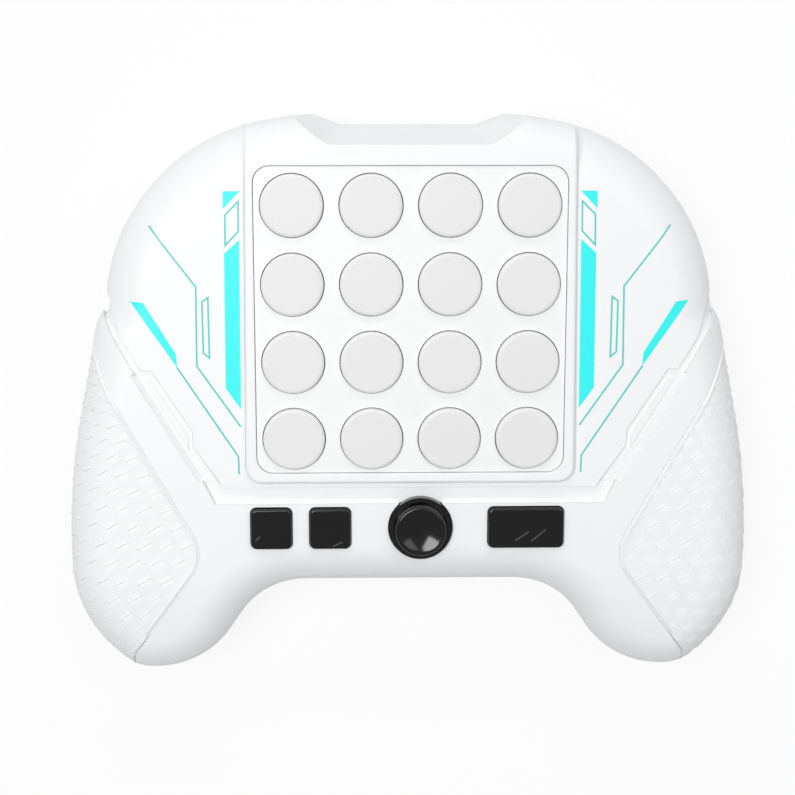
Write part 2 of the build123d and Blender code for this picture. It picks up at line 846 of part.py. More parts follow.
def speaker_cone():
    """Thin cone and dust cap inside the basket."""
    neck = speaker_radius - speaker_lip
    slope = (neck - magnet_radius) / (speaker_depth - basket_thickness)
    rim = neck - basket_thickness - fit - slope * (fit + cone_thickness)
    low = wall + fit
    high = low + cone_depth
    cone = turned([
        (rim, low), (rim, low + cone_thickness), (cone_cap_radius, high + cone_thickness),
        (0, high + cone_thickness), (0, high), (cone_cap_radius, high),
    ])
    return Pos(0, -speaker_reach, 0) * cone


def assembly():
    """Every piece by its name, in plan about the centre of the field."""
    outer = body(0, body_height, front_round_share)
    inner = body(wall, body_height, front_round_share)
    layer = outer - body(relief, body_height, front_round_share)
    raised = body(0, bezel_top, bezel_round_share)
    under_bezel = body(bezel_wall, bezel_top, bezel_round_share)
    cover = layer & block(grip_face(0), -overrun, bezel_top)

    pieces = {
        "front_shell": front_shell(outer, inner, layer, under_bezel),
        "rear_shell": rear_shell(outer, inner, layer),
        "grip_cover_right": cover,
        "grip_cover_left": mirrored(cover),
        "bezel_frame": bezel_frame(raised, under_bezel),
        "bubble_panel": bubble_panel(),
    }
    cap = bubble()
    for index, spot in enumerate(bubble_spots):
        column, row = divmod(index, rows)
        pieces[f"bubble_r{rows - row}c{column + 1}"] = spot * cap
    pieces["dome_pad"] = dome_pad()
    pieces["key_pad"] = key_pad()
    pieces["key_left"] = key_cap(key_left_place, key_width)
    pieces["key_middle"] = key_cap(key_middle_place, key_width)
    pieces["key_wide"] = key_cap(key_wide_place, wide_key_width)
    pieces["start_button"] = start_button()
    pieces["main_board"] = main_board()
    pieces["lamps"] = lamps()
    pieces["controller_chip"] = controller_chip()
    pieces["board_screws"] = screws(
        board_screw_places(), board_screw_radius, board_screw_length,
        board_head_radius, board_head_height, board_floor,
    )
    pieces["housing_screws"] = screws(
        screw_places(), housing_screw_radius, housing_screw_length,
        housing_head_radius, housing_head_height, housing_sink_depth,
    )
    pieces["battery_door"] = battery_door()
    ear = ear_spot().position
    pieces["door_screw"] = screws(
        [(ear.X, ear.Y)], door_screw_radius, door_screw_length,
        door_head_radius, door_head_height, door_head_height,
    )
    for index in range(cell_count):
        pieces[f"cell_{index + 1}"] = cell(index)
    pieces["battery_contacts"] = battery_contacts()
    pieces["speaker_basket"] = speaker_basket()
    pieces["speaker_cone"] = speaker_cone()
    return pieces


pieces = assembly()
housing = Compound(children=[*pieces["rear_shell"].solids(), *pieces["bezel_frame"].solids()])
middle = housing.bounding_box().center().Y
for name, piece in pieces.items():
    export_step(Pos(0, -middle, 0) * piece, f"parts/{name}.step")
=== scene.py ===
import json
from math import atan2, cos, floor, pi, radians, sin, sqrt

import bmesh
import bpy
import numpy
from mathutils import Matrix, Vector
from mathutils.bvhtree import BVHTree
from mathutils.kdtree import KDTree

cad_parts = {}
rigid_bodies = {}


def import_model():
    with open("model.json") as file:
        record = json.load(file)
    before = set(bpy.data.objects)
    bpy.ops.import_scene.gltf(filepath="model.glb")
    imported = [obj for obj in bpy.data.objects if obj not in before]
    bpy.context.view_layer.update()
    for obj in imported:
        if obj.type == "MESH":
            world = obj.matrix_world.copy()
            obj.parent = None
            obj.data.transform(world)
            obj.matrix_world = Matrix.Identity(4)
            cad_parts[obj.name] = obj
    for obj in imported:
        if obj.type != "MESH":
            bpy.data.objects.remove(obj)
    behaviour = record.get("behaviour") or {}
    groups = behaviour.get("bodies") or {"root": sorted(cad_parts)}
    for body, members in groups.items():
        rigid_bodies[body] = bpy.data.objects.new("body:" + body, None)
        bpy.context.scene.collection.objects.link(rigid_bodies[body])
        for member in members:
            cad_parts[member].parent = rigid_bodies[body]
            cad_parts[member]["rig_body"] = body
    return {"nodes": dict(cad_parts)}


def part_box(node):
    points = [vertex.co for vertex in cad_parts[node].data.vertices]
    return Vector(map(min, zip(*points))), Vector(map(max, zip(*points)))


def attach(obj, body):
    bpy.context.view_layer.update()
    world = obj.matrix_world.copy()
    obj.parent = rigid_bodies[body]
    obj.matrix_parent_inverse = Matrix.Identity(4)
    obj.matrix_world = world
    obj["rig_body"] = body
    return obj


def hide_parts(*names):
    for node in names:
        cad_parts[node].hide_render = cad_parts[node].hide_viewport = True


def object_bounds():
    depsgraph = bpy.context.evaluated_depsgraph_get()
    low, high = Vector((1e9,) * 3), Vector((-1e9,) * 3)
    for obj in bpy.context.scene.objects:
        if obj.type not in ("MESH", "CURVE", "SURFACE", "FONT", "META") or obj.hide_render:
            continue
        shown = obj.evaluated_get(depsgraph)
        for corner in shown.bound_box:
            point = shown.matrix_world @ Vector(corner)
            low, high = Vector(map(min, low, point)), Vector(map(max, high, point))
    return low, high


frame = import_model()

MM = 0.001
cad_low, cad_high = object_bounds()
field_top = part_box("bubble_r4c4")[1]
field_centre = (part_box("bubble_r1c1")[0] + field_top) / 2
field_centre.z = field_top.z


# Back shell: injection-moulded ABS from a finely spark-eroded mould, which gives a satin
# white that softens every reflection. Six screws through it hold the front shell. All
# other moulded pieces use this section's ways of copying, shading and colouring.
JOIN_DISTANCE = 0.002
SOFT_BEND = 32.0
CLOUD_SIZE = 40
CLOUD_SHADE = 0.985
SHEEN_SPREAD = 0.03


def linear(hex_colour, shade=1.0):
    """A colour from an sRGB hex value, in the linear values that shaders take."""
    channels = [int(hex_colour[i:i + 2], 16) / 255 for i in (1, 3, 5)]
    return tuple(
        shade * (c / 12.92 if c <= 0.04045 else ((c + 0.055) / 1.055) ** 2.4) for c in channels
    ) + (1.0,)


def add_node(tree, kind, settings=None, links=None):
    """One node with its settings, and links from other nodes' sockets to its own."""
    node = tree.nodes.new(kind)
    for name, value in (settings or {}).items():
        if isinstance(name, int) or name in node.inputs:
            node.inputs[name].default_value = value
        else:
            setattr(node, name, value)
    for name, source in (links or {}).items():
        tree.links.new(source, node.inputs[name])
    return node


def blank_material(name):
    """A material with an empty tree and its output node."""
    material = bpy.data.materials.new(name)
    material.use_nodes = True
    material.node_tree.nodes.clear()
    return material, material.node_tree, add_node(material.node_tree, "ShaderNodeOutputMaterial")


def merged_copy(node_name):
    """A bmesh of a CAD node with its loose triangles joined."""
    shape = bmesh.new()
    shape.from_mesh(frame["nodes"][node_name].data)
    bmesh.ops.remove_doubles(shape, verts=shape.verts, dist=JOIN_DISTANCE * MM)
    return shape


def finished_piece(name, shape, body, material, crease=SOFT_BEND):
    """A mesh object with smooth rounded faces, its sharp edges kept, riding on a body."""
    for face in shape.faces:
        face.smooth = True
    for edge in shape.edges:
        edge.smooth = edge.is_manifold and edge.calc_face_angle(0) < radians(crease)
    mesh = bpy.data.meshes.new(name)
    shape.to_mesh(mesh)
    shape.free()
    piece = bpy.data.objects.new(name, mesh)
    bpy.context.scene.collection.objects.link(piece)
    mesh.materials.append(material)
    weighted = piece.modifiers.new("even shading", "WEIGHTED_NORMAL")
    weighted.keep_sharp = True
    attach(piece, body)
    return piece


def smooth_piece(node_name, body, material, crease=SOFT_BEND):
    """A merged, smoothly shaded copy that stands for a CAD node."""
    piece = finished_piece(
        node_name + "_surface", merged_copy(node_name), body, material, crease
    )
    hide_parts(node_name)


def moulded_plastic(name, hex_colour, roughness, grain_mm, grain_depth, ior=1.53):
    """Moulded plastic: an even colour that clouds a little, and the mould's fine grain."""
    material, tree, output = blank_material(name)
    place = add_node(tree, "ShaderNodeTexCoord")
    grain = add_node(
        tree, "ShaderNodeTexNoise",
        {"Scale": 1 / (grain_mm * MM), "Detail": 3.0, "Roughness": 0.6},
        {"Vector": place.outputs["Object"]},
    )
    cloud = add_node(
        tree, "ShaderNodeTexNoise", {"Scale": 1 / (CLOUD_SIZE * MM), "Detail": 2.0},
        {"Vector": place.outputs["Object"]},
    )
    tint = add_node(
        tree, "ShaderNodeMix",
        {"data_type": "RGBA", 6: linear(hex_colour), 7: linear(hex_colour, CLOUD_SHADE)},
        {0: cloud.outputs["Fac"]},
    )
    sheen = add_node(
        tree, "ShaderNodeMapRange",
        {"To Min": roughness - SHEEN_SPREAD, "To Max": roughness + SHEEN_SPREAD},
        {"Value": grain.outputs["Fac"]},
    )
    bump = add_node(
        tree, "ShaderNodeBump", {"Strength": 0.25, "Distance": grain_depth * MM},
        {"Height": grain.outputs["Fac"]},
    )
    shader = add_node(
        tree, "ShaderNodeBsdfPrincipled", {"IOR": ior},
        {"Base Color": tint.outputs[2], "Roughness": sheen.outputs["Result"],
         "Normal": bump.outputs["Normal"]},
    )
    tree.links.new(shader.outputs["BSDF"], output.inputs["Surface"])
    return material


# The grain is 0.35 mm wide, coarser than the real 0.1 mm, so that it shows.
white_abs = moulded_plastic("satin_white_moulded_abs", "#F4F5F6", 0.42, 0.35, 0.01)
smooth_piece("rear_shell", "housing", white_abs)


# Front shell: white ABS like the back, with the shoulders, the key bar and a shallow belt
# round them. The belt gets drafted walls, a sloping band along its outer edge and a fine
# step before the bar. Places are in millimetres from the middle of the bubble field.
FRONT_CREASE = 24.0
BELT_DEPTH = 1.0
LEVEL_SPREAD = 0.1
CORNER_REACH = 0.05
NEAR_DRAFT = 0.34
FAR_DRAFT = 0.05
BAND_HEAD = ((69.71, -13.25), (53.18, -41.05))
BAND_FOOT = ((69.0, -12.6), (52.48, -40.4))
BAND_SPREAD = (-0.40, 0.24)
BAND_LIP = 0.05
BAND_DEPTH = 1.3
TOOTH_TIP = (48.17, -44.22)
BAR_FOOT = -46.46
BAR_MIDDLE = -44.2
BAR_STEP_PLACE = -40.7
BAR_STEP = 0.2
BAR_RISER = 0.12


def grown(start, bend):
    """The faces reached from one face over edges that bend less than an angle."""
    found = {start}
    waiting = [start]
    while waiting:
        for edge in waiting.pop().edges:
            if edge.is_manifold and edge.calc_face_angle(0) < radians(bend):
                for other in edge.link_faces:
                    if other not in found:
                        found.add(other)
                        waiting.append(other)
    return found


def corner_vertices(shape, place, low, high):
    """Vertices between two heights at one place in the plan, on both sides of the middle."""
    return [
        vertex for vertex in shape.verts
        if low <= vertex.co.z <= high
        and abs(abs(vertex.co.x - field_centre.x) - place[0] * MM) < CORNER_REACH * MM
        and abs(vertex.co.y - field_centre.y - place[1] * MM) < CORNER_REACH * MM
    ]


def belt_floor(shape, level):
    """The flat floor of the belt, grown from the middle of the bar."""
    middle = Vector((field_centre.x, field_centre.y + BAR_MIDDLE * MM))
    flats = [
        face for face in shape.faces
        if face.normal.z > 0.99 and abs(face.calc_center_median().z - level) < 0.02 * MM
    ]
    start = min(flats, key=lambda face: (face.calc_center_median().xy - middle).length)
    return grown(start, 1.0)


def drafted(vertex):
    """How far a foot moves from its upright walls; those that face the keys lean most."""
    leans = []
    for face in vertex.link_faces:
        upright = abs(face.normal.z) < 0.05
        if upright and all(face.normal.dot(lean) < 0.98 for lean in leans):
            leans.append(face.normal.copy())
    if not leans:
        return Vector((0, 0, 0))
    across = sum(leans, Vector((0, 0, 0))).normalized()
    draft = NEAR_DRAFT if across.y < 0 else FAR_DRAFT
    return across * draft * MM / max(0.5, min(across.dot(lean) for lean in leans))


def finish_belt(shape):
    """Works the belt's band, bar and walls into a copy of the front shell."""
    top = max(vertex.co.z for vertex in shape.verts)
    level = top - BELT_DEPTH * MM
    # The solid's strip leaves a small tooth at each lower end, which goes back to the bar.
    for vertex in corner_vertices(shape, TOOTH_TIP, level - LEVEL_SPREAD * MM, top):
        vertex.co.y = field_centre.y + BAR_FOOT * MM
    # The strip becomes the band: its head rises to the rim, its foot sinks and spreads.
    for place in BAND_HEAD:
        for vertex in corner_vertices(shape, place, level - MM, level):
            vertex.co.z = top - BAND_LIP * MM
    for place in BAND_FOOT:
        for vertex in corner_vertices(shape, place, level - MM, level + LEVEL_SPREAD * MM):
            side = 1 if vertex.co.x > field_centre.x else -1
            vertex.co.x += side * BAND_SPREAD[0] * MM
            vertex.co.y += BAND_SPREAD[1] * MM
            if vertex.co.z < level - LEVEL_SPREAD * MM:
                vertex.co.z = top - BAND_DEPTH * MM
    bmesh.ops.remove_doubles(shape, verts=shape.verts, dist=JOIN_DISTANCE * MM)
    shape.normal_update()
    # The floor is cut twice for the riser of the step, then sunk on the bar's side.
    step_place = field_centre.y + BAR_STEP_PLACE * MM
    for shift in (-BAR_RISER / 2, BAR_RISER / 2):
        floor_faces = list(belt_floor(shape, level))
        edges = {edge for face in floor_faces for edge in face.edges}
        vertices = {vertex for face in floor_faces for vertex in face.verts}
        bmesh.ops.bisect_plane(
            shape, geom=floor_faces + list(edges) + list(vertices), dist=0.001 * MM,
            plane_co=(0, step_place + shift * MM, 0), plane_no=(0, 1, 0),
        )
        shape.normal_update()
    feet = {vertex for face in belt_floor(shape, level) for vertex in face.verts}
    moves = {vertex: drafted(vertex) for vertex in feet}
    for vertex, move in moves.items():
        if vertex.co.y < step_place:
            vertex.co.z -= BAR_STEP * MM
        vertex.co += move
    shape.normal_update()


front_shape = merged_copy("front_shell")
finish_belt(front_shape)
front_surface = finished_piece(
    "front_shell_surface", front_shape, "housing", white_abs, FRONT_CREASE
)
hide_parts("front_shell")


# Print on the shoulders: cyan ink laid on the white shell by pad printing, as plain bars,
# boxes and thin lines. The ink is a film about 0.04 mm thick with a low gloss. Places
# are in millimetres from the middle of the bubble field, for the right side.
INK_HEIGHT = 0.04
FINE_LINE = 0.42
INK_GRID = 0.8
SOLID_INK = (
    ((42.0, 20.7), (45.8, 17.2), (46.0, -16.5), (42.3, -21.8)),
    ((41.7, 32.5), (45.8, 32.5), (45.9, 28.1)),
    ((69.2, 5.4), (66.0, 5.1), (58.2, -7.7), (58.0, -11.1)),
)
OUTLINED_INK = (
    ((41.9, 30.5), (45.6, 26.8), (45.7, 18.7), (42.0, 22.6)),
    ((49.8, 6.8), (51.7, 5.4), (51.6, -7.6), (49.7, -9.2)),
)
INK_LINES = (
    ((64.2, 24.0), (52.9, 9.0), (53.1, -10.8), (42.5, -26.2)),
    ((58.1, -11.0), (43.2, -33.9), (43.1, -38.4)),
)

ink_ground = bmesh.new()
ink_ground.from_mesh(front_surface.data)
front_tree = BVHTree.FromBMesh(ink_ground)
ink_ground.free()


def printing_ink(name, hex_colour):
    """Pad-printed ink: dense colour with a slight unevenness and a low gloss."""
    material, tree, output = blank_material(name)
    place = add_node(tree, "ShaderNodeTexCoord")
    mottle = add_node(
        tree, "ShaderNodeTexNoise", {"Scale": 1 / (1.2 * MM), "Detail": 3.0},
        {"Vector": place.outputs["Object"]},
    )
    tint = add_node(
        tree, "ShaderNodeMix",
        {"data_type": "RGBA", 6: linear(hex_colour), 7: linear(hex_colour, 0.94)},
        {0: mottle.outputs["Fac"]},
    )
    gloss = add_node(
        tree, "ShaderNodeMapRange", {"To Min": 0.34, "To Max": 0.42},
        {"Value": mottle.outputs["Fac"]},
    )
    shader = add_node(
        tree, "ShaderNodeBsdfPrincipled", {"IOR": 1.5},
        {"Base Color": tint.outputs[2], "Roughness": gloss.outputs["Result"]},
    )
    tree.links.new(shader.outputs["BSDF"], output.inputs["Surface"])
    return material


def line_outline(points, width):
    """Both sides of an open line of even width, with mitred corners."""
    path = [Vector(point) for point in points]
    left, right = [], []
    for i, point in enumerate(path):
        before = (path[i] - path[i - 1]).normalized() if i else (path[1] - path[0]).normalized()
        after = (path[i + 1] - path[i]).normalized() if i + 1 < len(path) else before
        across = Vector((-before.y - after.y, before.x + after.x)).normalized()
        reach = width / 2 / max(0.3, across.dot(Vector((-before.y, before.x))))
        left.append(point + across * reach)
        right.append(point - across * reach)
    return left + right[::-1]


def laid_on(tree, shape, lift):
    """Drops every point of a flat shape onto the surface under it, a little above it."""
    for vertex in shape.verts:
        start = Vector((vertex.co.x, vertex.co.y, cad_high.z + 10 * MM))
        place, normal, _, _ = tree.ray_cast(start, Vector((0, 0, -1)))
        vertex.co = place + normal * lift


def cut_grid(shape, step):
    """Cuts a flat shape into squares, so that it can follow a curved surface."""
    for axis in (0, 1):
        low = min(vertex.co[axis] for vertex in shape.verts)
        high = max(vertex.co[axis] for vertex in shape.verts)
        for index in range(1, int((high - low) / step) + 1):
            place = Vector((0, 0, 0))
            place[axis] = low + index * step
            normal = Vector((0, 0, 0))
            normal[axis] = 1
            bmesh.ops.bisect_plane(
                shape, geom=shape.verts[:] + shape.edges[:] + shape.faces[:],
                dist=0.001 * MM, plane_co=place, plane_no=normal,
            )


def printed_shape(outlines, hollow, side):
    """Flat faces from outlines in millimetres, on one side of the field, cut into a grid."""
    shape = bmesh.new()
    for outline in outlines:
        corners = [
            shape.verts.new((field_centre.x + side * x * MM, field_centre.y + y * MM, 0))
            for x, y in outline
        ]
        face = shape.faces.new(corners)
        if hollow:
            face.normal_update()
            bmesh.ops.inset_individual(
                shape, faces=[face], thickness=FINE_LINE * MM, use_even_offset=True
            )
            bmesh.ops.delete(shape, geom=[face], context="FACES_ONLY")
    cut_grid(shape, INK_GRID * MM)
    for face in shape.faces:
        if face.normal.z < 0:
            face.normal_flip()
    return shape


cyan_ink = printing_ink("pad_printed_cyan_ink", "#2FF6F4")
line_ink = printing_ink("pad_printed_fine_line_ink", "#4FCFCB")
for side, side_name in ((1, "right"), (-1, "left")):
    lines = [line_outline(points, FINE_LINE) for points in INK_LINES]
    for kind, outlines, hollow, ink in (
        ("bars", SOLID_INK, False, cyan_ink),
        ("boxes", OUTLINED_INK, True, line_ink),
        ("lines", lines, False, line_ink),
    ):
        shape = printed_shape(outlines, hollow, side)
        laid_on(front_tree, shape, INK_HEIGHT * MM)
        finished_piece(f"print_{kind}_{side_name}", shape, "housing", ink)


# Grip covers: white skins let into the haunches, moulded in a slightly softer plastic.
# Rows of six-sided scales, each raised at its lower right edge, wrap from the face round
# the flank to the back; the cover's border rounds down into the seam.
GRIP_CREASE = 24.0
SKIN_BEND = 30.0
SCALE_WIDTH = 5.3
SCALE_STEP = 0.45
RISER_WIDTH = 0.2
EASE_WIDTH = 0.8
SEAM_ROUND = 0.8
SEAM_DEPTH = 0.9
SEAM_GAP = 0.3
SHORTEST_EDGE = 0.05
FADE_WIDTH = 1.2
FIT_TERMS = 3
FLANK_WEIGHT = 0.06
scale_row = 1.5 * SCALE_WIDTH / sqrt(3)
tip_direction = Vector((0.5, -sqrt(3) / 2))


def scale_height(point):
    """Height of the scales under the skin's own surface, from the unrolled place in mm."""
    distances = []
    first_row = floor(point.y / scale_row)
    for row in (first_row, first_row + 1):
        shift = SCALE_WIDTH / 2 if row % 2 else 0
        column = round((point.x - shift) / SCALE_WIDTH)
        distances.append(point - Vector((column * SCALE_WIDTH + shift, row * scale_row)))
    away = min(distances, key=lambda distance: distance.length)
    tip = max(-1.0, min(1.0, away.dot(tip_direction) / (SCALE_WIDTH / 2)))
    return -SCALE_STEP / 2 * (1 - tip ** 5)


def outer_skin(shape):
    """The faces of the skin's outer side, grown from the highest face over soft edges."""
    return grown(max(shape.faces, key=lambda face: face.calc_center_median().z), SKIN_BEND)


def unroll(shape, stem):
    """Keeps for each point of the skin its place in mm in a flat, unrolled drawing."""
    number = shape.verts.layers.int["number"]
    for vertex in shape.verts:
        vertex[number] = vertex.index
    skin = shape.copy()
    skin_mark = skin.faces.layers.int["skin"]
    bmesh.ops.delete(skin, geom=[f for f in skin.faces if f[skin_mark] != 1], context="FACES")
    skin_number = skin.verts.layers.int["number"]
    numbers = [vertex[skin_number] for vertex in skin.verts]
    mesh = bpy.data.meshes.new(stem + "_pattern")
    skin.to_mesh(mesh)
    skin.free()
    pattern = bpy.data.objects.new(stem + "_pattern", mesh)
    bpy.context.scene.collection.objects.link(pattern)
    bpy.context.view_layer.objects.active = pattern
    pattern.select_set(True)
    bpy.ops.object.mode_set(mode="EDIT")
    bpy.ops.mesh.select_all(action="SELECT")
    bpy.ops.uv.unwrap(method="ANGLE_BASED", margin=0.0)
    bpy.ops.object.mode_set(mode="OBJECT")
    flat = {}
    for loop, spot in zip(mesh.loops, mesh.uv_layers.active.data):
        flat[numbers[loop.vertex_index]] = complex(spot.uv.x, spot.uv.y)
    bpy.data.objects.remove(pattern)
    bpy.data.meshes.remove(mesh)
    # A cubic fit of the unwrapped places to the plan keeps the rows level and even. The
    # flanks have no true plan, so they follow a plain turn and stretch with little weight.
    shape.verts.ensure_lookup_table()
    points = [shape.verts[index] for index in flat]
    spots = numpy.array(list(flat.values()))
    plans = numpy.array([
        complex(vertex.co.x - field_centre.x, vertex.co.y - field_centre.y) / MM
        for vertex in points
    ])
    level = numpy.array([vertex.normal.z > 0.97 for vertex in points])
    plain = numpy.polyval(numpy.polyfit(spots[level], plans[level], 1), spots)
    terms = numpy.polyfit(
        spots, numpy.where(level, plans, plain), FIT_TERMS, w=numpy.where(level, 1, FLANK_WEIGHT)
    )
    place = shape.verts.layers.float_vector["flat"]
    for vertex, spot in zip(points, numpy.polyval(terms, spots)):
        vertex[place] = Vector((spot.real, spot.imag, 0))


def cut_scales(skin):
    """Cuts the flat skin on both sides of every scale's edge and where its rise begins."""
    for angle in (0, pi / 3, 2 * pi / 3):
        across = Vector((cos(angle), sin(angle), 0))
        shifts = [-RISER_WIDTH / 2, RISER_WIDTH / 2]
        if abs(across.xy.dot(tip_direction)) > 0.99:
            shifts += [-EASE_WIDTH, EASE_WIDTH]
        reaches = [vertex.co.dot(across) for vertex in skin.verts]
        step = SCALE_WIDTH / 2
        for index in range(floor(min(reaches) / step), floor(max(reaches) / step) + 2):
            for shift in shifts:
                bmesh.ops.bisect_plane(
                    skin, geom=skin.verts[:] + skin.edges[:] + skin.faces[:],
                    dist=0.01, plane_co=across * (index * step + shift), plane_no=across,
                )


def scaled_grip(side_name, material):
    """One grip cover, its edge rounded into the seam and its outer side set with scales."""
    node_name = "grip_cover_" + side_name
    nowhere = Vector((0, 0, 0))
    shape = merged_copy(node_name)
    bmesh.ops.remove_doubles(shape, verts=shape.verts, dist=SHORTEST_EDGE * MM)
    shape.verts.layers.int.new("number")
    shape.verts.layers.float_vector.new("flat")
    mark = shape.faces.layers.int.new("skin")
    shape.verts.index_update()
    skin_faces = outer_skin(shape)
    for face in skin_faces:
        face[mark] = 1
    unroll(shape, node_name)
    # The ring between the skin and the walls goes out and down, so that it rounds the edge.
    ring = bmesh.ops.inset_region(
        shape, faces=list(skin_faces), thickness=SEAM_ROUND * MM, use_even_offset=False
    )["faces"]
    for face in ring:
        face[mark] = 2
    rim = {
        vertex for face in ring for vertex in face.verts
        if any(not other[mark] for other in vertex.link_faces)
    }
    shape.normal_update()
    moves = {}
    for vertex in rim:
        tops = [face.normal for face in vertex.link_faces if face[mark] == 2]
        walls = [face.normal for face in vertex.link_faces if face[mark] == 0]
        moves[vertex] = (
            sum(walls, nowhere).normalized() * SEAM_GAP * MM
            - sum(tops, nowhere).normalized() * SEAM_DEPTH * MM
        )
    for vertex, move in moves.items():
        vertex.co += move
    # The skin is laid flat, cut along the scales and put back with each scale's height.
    skin = shape.copy()
    skin_mark = skin.faces.layers.int["skin"]
    bmesh.ops.delete(shape, geom=[f for f in shape.faces if f[mark] == 1], context="FACES")
    bmesh.ops.delete(skin, geom=[f for f in skin.faces if f[skin_mark] != 1], context="FACES")
    for name in ("own", "outward"):
        skin.verts.layers.float_vector.new(name)
    own, outward, flat = (
        skin.verts.layers.float_vector[name] for name in ("own", "outward", "flat")
    )
    skin.normal_update()
    for vertex in skin.verts:
        vertex[own] = vertex.co
        vertex[outward] = vertex.normal
        vertex.co = vertex[flat]
    cut_scales(skin)
    border_tree = KDTree(len(skin.verts))
    for vertex in skin.verts:
        if vertex.is_boundary:
            border_tree.insert(vertex.co, vertex.index)
    border_tree.balance()
    for vertex in skin.verts:
        inside = min(1.0, border_tree.find(vertex.co)[2] / FADE_WIDTH)
        depth = scale_height(vertex.co.xy) * inside
        vertex.co = Vector(vertex[own]) + Vector(vertex[outward]).normalized() * depth * MM
        vertex.co.z = max(vertex.co.z, 0.0)
    skin_mesh = bpy.data.meshes.new(node_name + "_skin")
    skin.to_mesh(skin_mesh)
    skin.free()
    shape.from_mesh(skin_mesh)
    bpy.data.meshes.remove(skin_mesh)
    bmesh.ops.remove_doubles(shape, verts=shape.verts, dist=JOIN_DISTANCE * MM)
    bmesh.ops.triangulate(shape, faces=shape.faces)
    piece = finished_piece(
        node_name + "_scales", shape, "housing", material, GRIP_CREASE
    )
    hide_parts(node_name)


grip_plastic = moulded_plastic("soft_white_moulded_tpe", "#F2F3F4", 0.5, 0.3, 0.012, 1.5)
for side_name in ("left", "right"):
    scaled_grip(side_name, grip_plastic)


# Bezel: a white moulding of the same ABS that wraps over the top edge and clips down on
# the border of the panel. At its two rounded rear corners the skirt reaches down to the
# shoulders. The skirt's axis is a place in y and z in millimetres.
SKIRT_SIDE = 40.0
SKIRT_AXIS = (61.4, 26.2)
SKIRT_REACH = 1.6
bezel_shape = merged_copy("bezel_frame")
bezel_shape.normal_update()
skirt_moves = {}
for vertex in bezel_shape.verts:
    inward = Vector((0, SKIRT_AXIS[0] * MM - vertex.co.y, SKIRT_AXIS[1] * MM - vertex.co.z))
    behind = abs(vertex.co.x) > SKIRT_SIDE * MM and inward.y < 0 and inward.z < 0
    if behind and any(face.normal.dot(inward.normalized()) > 0.7 for face in vertex.link_faces):
        share = sin(2 * atan2(inward.z, inward.y))
        skirt_moves[vertex] = inward.normalized() * abs(share) * SKIRT_REACH * MM
for vertex, move in skirt_moves.items():
    vertex.co += move
bezel_surface = finished_piece(
    "bezel_frame_surface", bezel_shape, "housing", white_abs
)
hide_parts("bezel_frame")


# Bubble panel: a plate of the same white ABS with sixteen round holes, a little smoother
# than the shells, held down by the bezel's border.
panel_abs = moulded_plastic("smooth_white_moulded_abs", "#F3F4F4", 0.36, 0.35, 0.006)
smooth_piece("bubble_panel", "housing", panel_abs)


# Bubbles: sixteen push caps of milky polypropylene, lit from behind by the lamps. The
# flat faces are lightly etched and pale grey; the rounded rims are painted lighter, a painted
# highlight.
RIM_DEPTH = 0.24
FACE_DEPTH = 0.01
bubble_material, tree, output = blank_material("milky_polypropylene")
place = add_node(tree, "ShaderNodeTexCoord")
height = add_node(tree, "ShaderNodeSeparateXYZ", {}, {0: place.outputs["Object"]})
# Painted highlight: the rounded rims, lower than the flat face, are painted lighter than the
# face's grey.
painted_rim_highlight_share = add_node(
    tree, "ShaderNodeMapRange",
    {"From Min": field_top.z - RIM_DEPTH * MM, "From Max": field_top.z - FACE_DEPTH * MM},
    {"Value": height.outputs["Z"]},
)
etching = add_node(
    tree, "ShaderNodeTexNoise", {"Scale": 1 / (0.3 * MM), "Detail": 2.0},
    {"Vector": place.outputs["Object"]},
)
tint = add_node(
    tree, "ShaderNodeMix",
    {"data_type": "RGBA", 6: linear("#F1F1F1"), 7: linear("#E6E6E6")},
    {0: painted_rim_highlight_share.outputs["Result"]},
)
frost = add_node(
    tree, "ShaderNodeMapRange", {"To Min": 0.4, "To Max": 0.52}, {"Value": etching.outputs["Fac"]}
)
bump = add_node(
    tree, "ShaderNodeBump", {"Strength": 0.2, "Distance": 0.008 * MM},
    {"Height": etching.outputs["Fac"]},
)
shader = add_node(
    tree, "ShaderNodeBsdfPrincipled", {"IOR": 1.49},
    {"Base Color": tint.outputs[2], "Roughness": frost.outputs["Result"],
     "Normal": bump.outputs["Normal"]},
)
tree.links.new(shader.outputs["BSDF"], output.inputs["Surface"])
for row in range(1, 5):
    for column in range(1, 5):
        name = f"bubble_r{row}c{column}"
        smooth_piece(name, frame["nodes"][name]["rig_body"], bubble_material)


# Keys and start button: moulded in black ABS and polished, so that their rounded upper
# edges catch a thin bright line. Small marks are printed on the keys in dark grey, here
# with their ends as shares of the cap's width and depth.
KEY_CREASE = 40.0
MARK_WIDTH = 0.32
MARK_HEIGHT = 0.02
black_abs = moulded_plastic("polished_black_abs", "#0C0C0C", 0.13, 0.5, 0.004)
for name in ("key_left", "key_middle", "key_wide", "start_button"):
    smooth_piece(name, frame["nodes"][name]["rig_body"], black_abs, KEY_CREASE)

